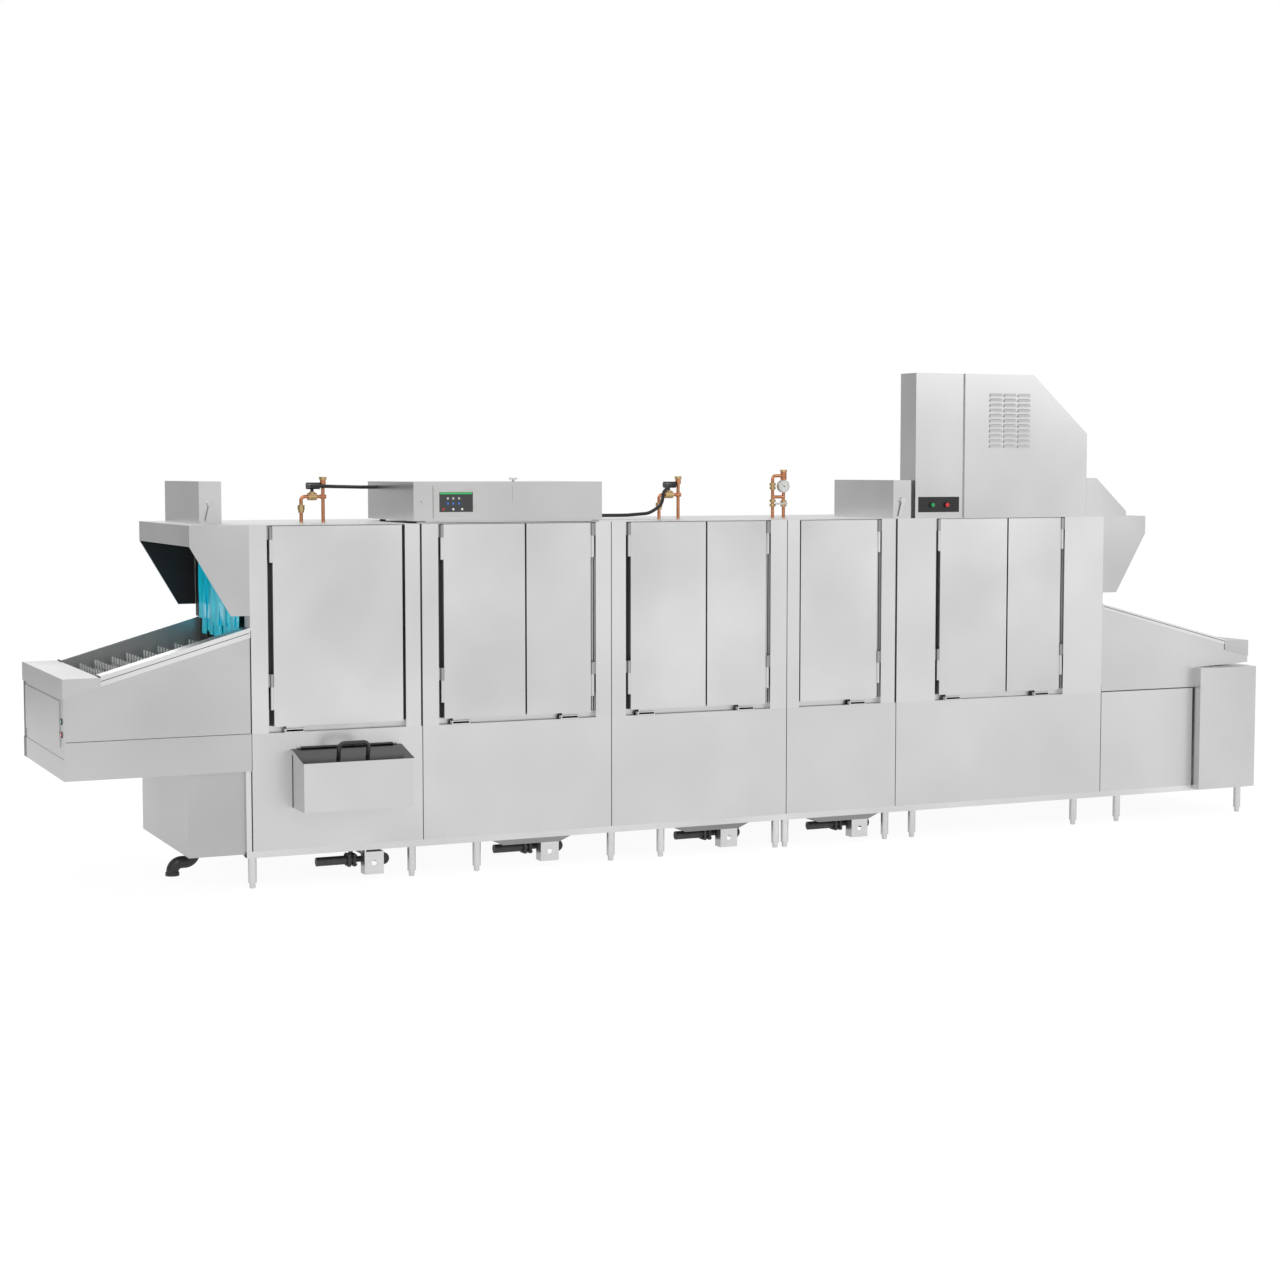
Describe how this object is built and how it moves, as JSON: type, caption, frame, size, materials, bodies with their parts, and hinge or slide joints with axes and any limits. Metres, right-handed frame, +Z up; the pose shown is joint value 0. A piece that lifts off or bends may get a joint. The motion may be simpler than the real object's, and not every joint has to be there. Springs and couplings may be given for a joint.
{
  "type": "commercial dishwasher",
  "caption": "Long stainless conveyor dishwashing machine with load and unload tables, curtained tunnel, hinged section doors, pegged belt, roof control box and blower.",
  "frame": {"origin": "middle of the footprint, on the floor", "axes": "+X from the load end to the unload end, +Y from the front to the back, +Z up"},
  "size_m": [6.885, 1.285, 2.535],
  "materials": {
    "steel": "brushed stainless sheet",
    "chain_steel": "oiled steel",
    "black_plastic": "moulded black plastic",
    "screen": "lit touch screen",
    "copper": "drawn copper tube",
    "brass": "cast brass",
    "black_rubber": "black flexible conduit and coil covers",
    "drain_plastic": "black drain pipe",
    "curtain_vinyl": "tinted flexible vinyl",
    "flight_plastic": "moulded grey plastic",
    "green_plastic": "green button cap",
    "red_plastic": "red button cap",
    "motor_paint": "grey enamel",
    "valve_iron": "cast valve and pump bodies",
    "gauge_metal": "bright gauge case"
  },
  "bodies": {
    "chassis": {"base_frame": "steel", "black_fittings": "black_plastic", "blower_housing": "steel", "body_shell": "steel", "brass_fittings": "brass", "control_box": "steel", "conveyor_chains": "chain_steel", "conveyor_flights": "flight_plastic", "conveyor_track": "steel", "copper_pipes": "copper", "door_surrounds": "steel", "drain_pipes": "drain_plastic", "drive_cabinet": "steel", "end_caps": "steel", "feet": "steel", "hinge_pins": "steel", "hoods": "steel", "load_section": "steel", "lower_panels": "steel", "motors": "motor_paint", "preflush_tank": "steel", "pressure_gauge": "gauge_metal", "pumps_and_valves": "valve_iron", "scrap_box": "steel", "solenoids_and_conduits": "black_rubber", "strip_curtains": "curtain_vinyl", "switch_box": "steel", "table_rails": "steel", "unload_section": "steel", "vent_cowls": "steel", "wash_arms": "steel", "wash_tanks": "steel"},
    "prewash_door_leaf": {"prewash_door": "steel"},
    "wash_left_door_leaf": {"wash_left_door": "steel"},
    "wash_right_door_leaf": {"wash_right_door": "steel"},
    "rinse_left_door_leaf": {"rinse_left_door": "steel"},
    "rinse_right_door_leaf": {"rinse_right_door": "steel"},
    "final_rinse_door_leaf": {"final_rinse_door": "steel"},
    "dryer_left_door_leaf": {"dryer_left_door": "steel"},
    "dryer_right_door_leaf": {"dryer_right_door": "steel"},
    "lid": {"scrap_lid": "steel", "scrap_lid_handle": "black_plastic"},
    "cover": {"control_cover": "steel", "touch_screen": "screen"},
    "latch": {"wing_latch": "steel"},
    "cabinet_leaf": {"cabinet_door": "steel"},
    "load_damper_vane": {"load_damper": "steel"},
    "unload_damper_vane": {"unload_damper": "steel"},
    "lever_arm": {"valve_lever": "steel"},
    "load_start_cap": {"load_start_button": "green_plastic"},
    "load_stop_cap": {"load_stop_button": "red_plastic"},
    "blower_start_cap": {"blower_start_button": "green_plastic"},
    "blower_stop_cap": {"blower_stop_button": "red_plastic"},
    "drive": {"drive_shaft": "chain_steel"},
    "tail": {"tail_shaft": "chain_steel"},
    "motor_output": {"motor_sprocket": "chain_steel"},
    "fan": {"blower_wheel": "steel"},
    "prewash_pump_rotor": {"prewash_impeller": "steel"},
    "wash_pump_rotor": {"wash_impeller": "steel"},
    "rinse_pump_rotor": {"rinse_impeller": "steel"}
  },
  "joints": [
    {"name": "prewash_door_hinge", "type": "hinge", "parent": "chassis", "child": "prewash_door_leaf", "pos_m": [-2.4495, -0.4415, 0.78], "axis": [0, 0, -1], "range_deg": [0, 100]},
    {"name": "wash_left_door_hinge", "type": "hinge", "parent": "chassis", "child": "wash_left_door_leaf", "pos_m": [-1.5845, -0.4415, 0.78], "axis": [0, 0, -1], "range_deg": [0, 100]},
    {"name": "wash_right_door_hinge", "type": "hinge", "parent": "chassis", "child": "wash_right_door_leaf", "pos_m": [-0.7735, -0.4415, 0.78], "axis": [0, 0, 1], "range_deg": [0, 100]},
    {"name": "rinse_left_door_hinge", "type": "hinge", "parent": "chassis", "child": "rinse_left_door_leaf", "pos_m": [-0.5695, -0.4415, 0.78], "axis": [0, 0, -1], "range_deg": [0, 100]},
    {"name": "rinse_right_door_hinge", "type": "hinge", "parent": "chassis", "child": "rinse_right_door_leaf", "pos_m": [0.2325, -0.4415, 0.78], "axis": [0, 0, 1], "range_deg": [0, 100]},
    {"name": "final_rinse_door_hinge", "type": "hinge", "parent": "chassis", "child": "final_rinse_door_leaf", "pos_m": [0.9085, -0.4415, 0.78], "axis": [0, 0, 1], "range_deg": [0, 100]},
    {"name": "dryer_left_door_hinge", "type": "hinge", "parent": "chassis", "child": "dryer_left_door_leaf", "pos_m": [1.2875, -0.4415, 0.78], "axis": [0, 0, -1], "range_deg": [0, 100]},
    {"name": "dryer_right_door_hinge", "type": "hinge", "parent": "chassis", "child": "dryer_right_door_leaf", "pos_m": [2.0945, -0.4415, 0.78], "axis": [0, 0, 1], "range_deg": [0, 100]},
    {"name": "scrap_lid_hinge", "type": "hinge", "parent": "chassis", "child": "lid", "pos_m": [-2.3525, -0.4475, 0.67302], "axis": [-1, 0, 0], "range_deg": [0, 65]},
    {"name": "control_cover_hinge", "type": "hinge", "parent": "chassis", "child": "cover", "pos_m": [-1.7285, -0.4455, 1.756], "axis": [1, 0, 0], "range_deg": [0, 90]},
    {"name": "wing_latch_turn", "type": "hinge", "parent": "chassis", "child": "latch", "pos_m": [-1.1865, -0.3965, 1.953], "axis": [0, 0, 1], "range_deg": [0, 90]},
    {"name": "cabinet_door_hinge", "type": "hinge", "parent": "chassis", "child": "cabinet_leaf", "pos_m": [3.4365, -0.4415, 0.162], "axis": [0, 0, 1], "range_deg": [0, 110]},
    {"name": "load_damper_turn", "type": "hinge", "parent": "chassis", "child": "load_damper_vane", "pos_m": [-2.651, -0.0915, 1.846], "axis": [0, 1, 0], "range_deg": [0, 90]},
    {"name": "unload_damper_turn", "type": "hinge", "parent": "chassis", "child": "unload_damper_vane", "pos_m": [1.055, -0.4365, 1.846], "axis": [0, 1, 0], "range_deg": [0, 90]},
    {"name": "valve_lever_turn", "type": "hinge", "parent": "chassis", "child": "lever_arm", "pos_m": [0.5925, 0.0415, 1.826], "axis": [0, 1, 0], "range_deg": [0, 90]},
    {"name": "load_start_press", "type": "slide", "parent": "chassis", "child": "load_start_cap", "axis": [1, 0, 0], "range_m": [0, 0.0025], "stiffness_N_per_m": 400},
    {"name": "load_stop_press", "type": "slide", "parent": "chassis", "child": "load_stop_cap", "axis": [1, 0, 0], "range_m": [0, 0.0025], "stiffness_N_per_m": 400},
    {"name": "blower_start_press", "type": "slide", "parent": "chassis", "child": "blower_start_cap", "axis": [0, 1, 0], "range_m": [0, 0.0025], "stiffness_N_per_m": 400},
    {"name": "blower_stop_press", "type": "slide", "parent": "chassis", "child": "blower_stop_cap", "axis": [0, 1, 0], "range_m": [0, 0.0025], "stiffness_N_per_m": 400},
    {"name": "drive_shaft_turn", "type": "hinge", "parent": "chassis", "child": "drive", "pos_m": [3.2895, -0.3395, 0.932], "axis": [0, 1, 0], "continuous": true},
    {"name": "tail_shaft_turn", "type": "hinge", "parent": "chassis", "child": "tail", "pos_m": [-3.3535, -0.3395, 0.906], "axis": [0, 1, 0], "continuous": true},
    {"name": "motor_sprocket_turn", "type": "hinge", "parent": "chassis", "child": "motor_output", "pos_m": [3.2895, 0.492, 0.567], "axis": [0, 1, 0], "continuous": true},
    {"name": "blower_wheel_turn", "type": "hinge", "parent": "chassis", "child": "fan", "pos_m": [1.8465, -0.2915, 2.11], "axis": [0, 1, 0], "continuous": true},
    {"name": "prewash_impeller_turn", "type": "hinge", "parent": "chassis", "child": "prewash_pump_rotor", "pos_m": [-2.4005, -0.1415, 0.262], "axis": [1, 0, 0], "continuous": true},
    {"name": "wash_impeller_turn", "type": "hinge", "parent": "chassis", "child": "wash_pump_rotor", "pos_m": [-1.5365, -0.1415, 0.262], "axis": [1, 0, 0], "continuous": true},
    {"name": "rinse_impeller_turn", "type": "hinge", "parent": "chassis", "child": "rinse_pump_rotor", "pos_m": [-0.5155, -0.1415, 0.262], "axis": [1, 0, 0], "continuous": true}
  ],
  "couplings": [
    {"joint": "tail_shaft_turn", "follows": "drive_shaft_turn", "ratio": 1},
    {"joint": "motor_sprocket_turn", "follows": "drive_shaft_turn", "ratio": 1}
  ]
}
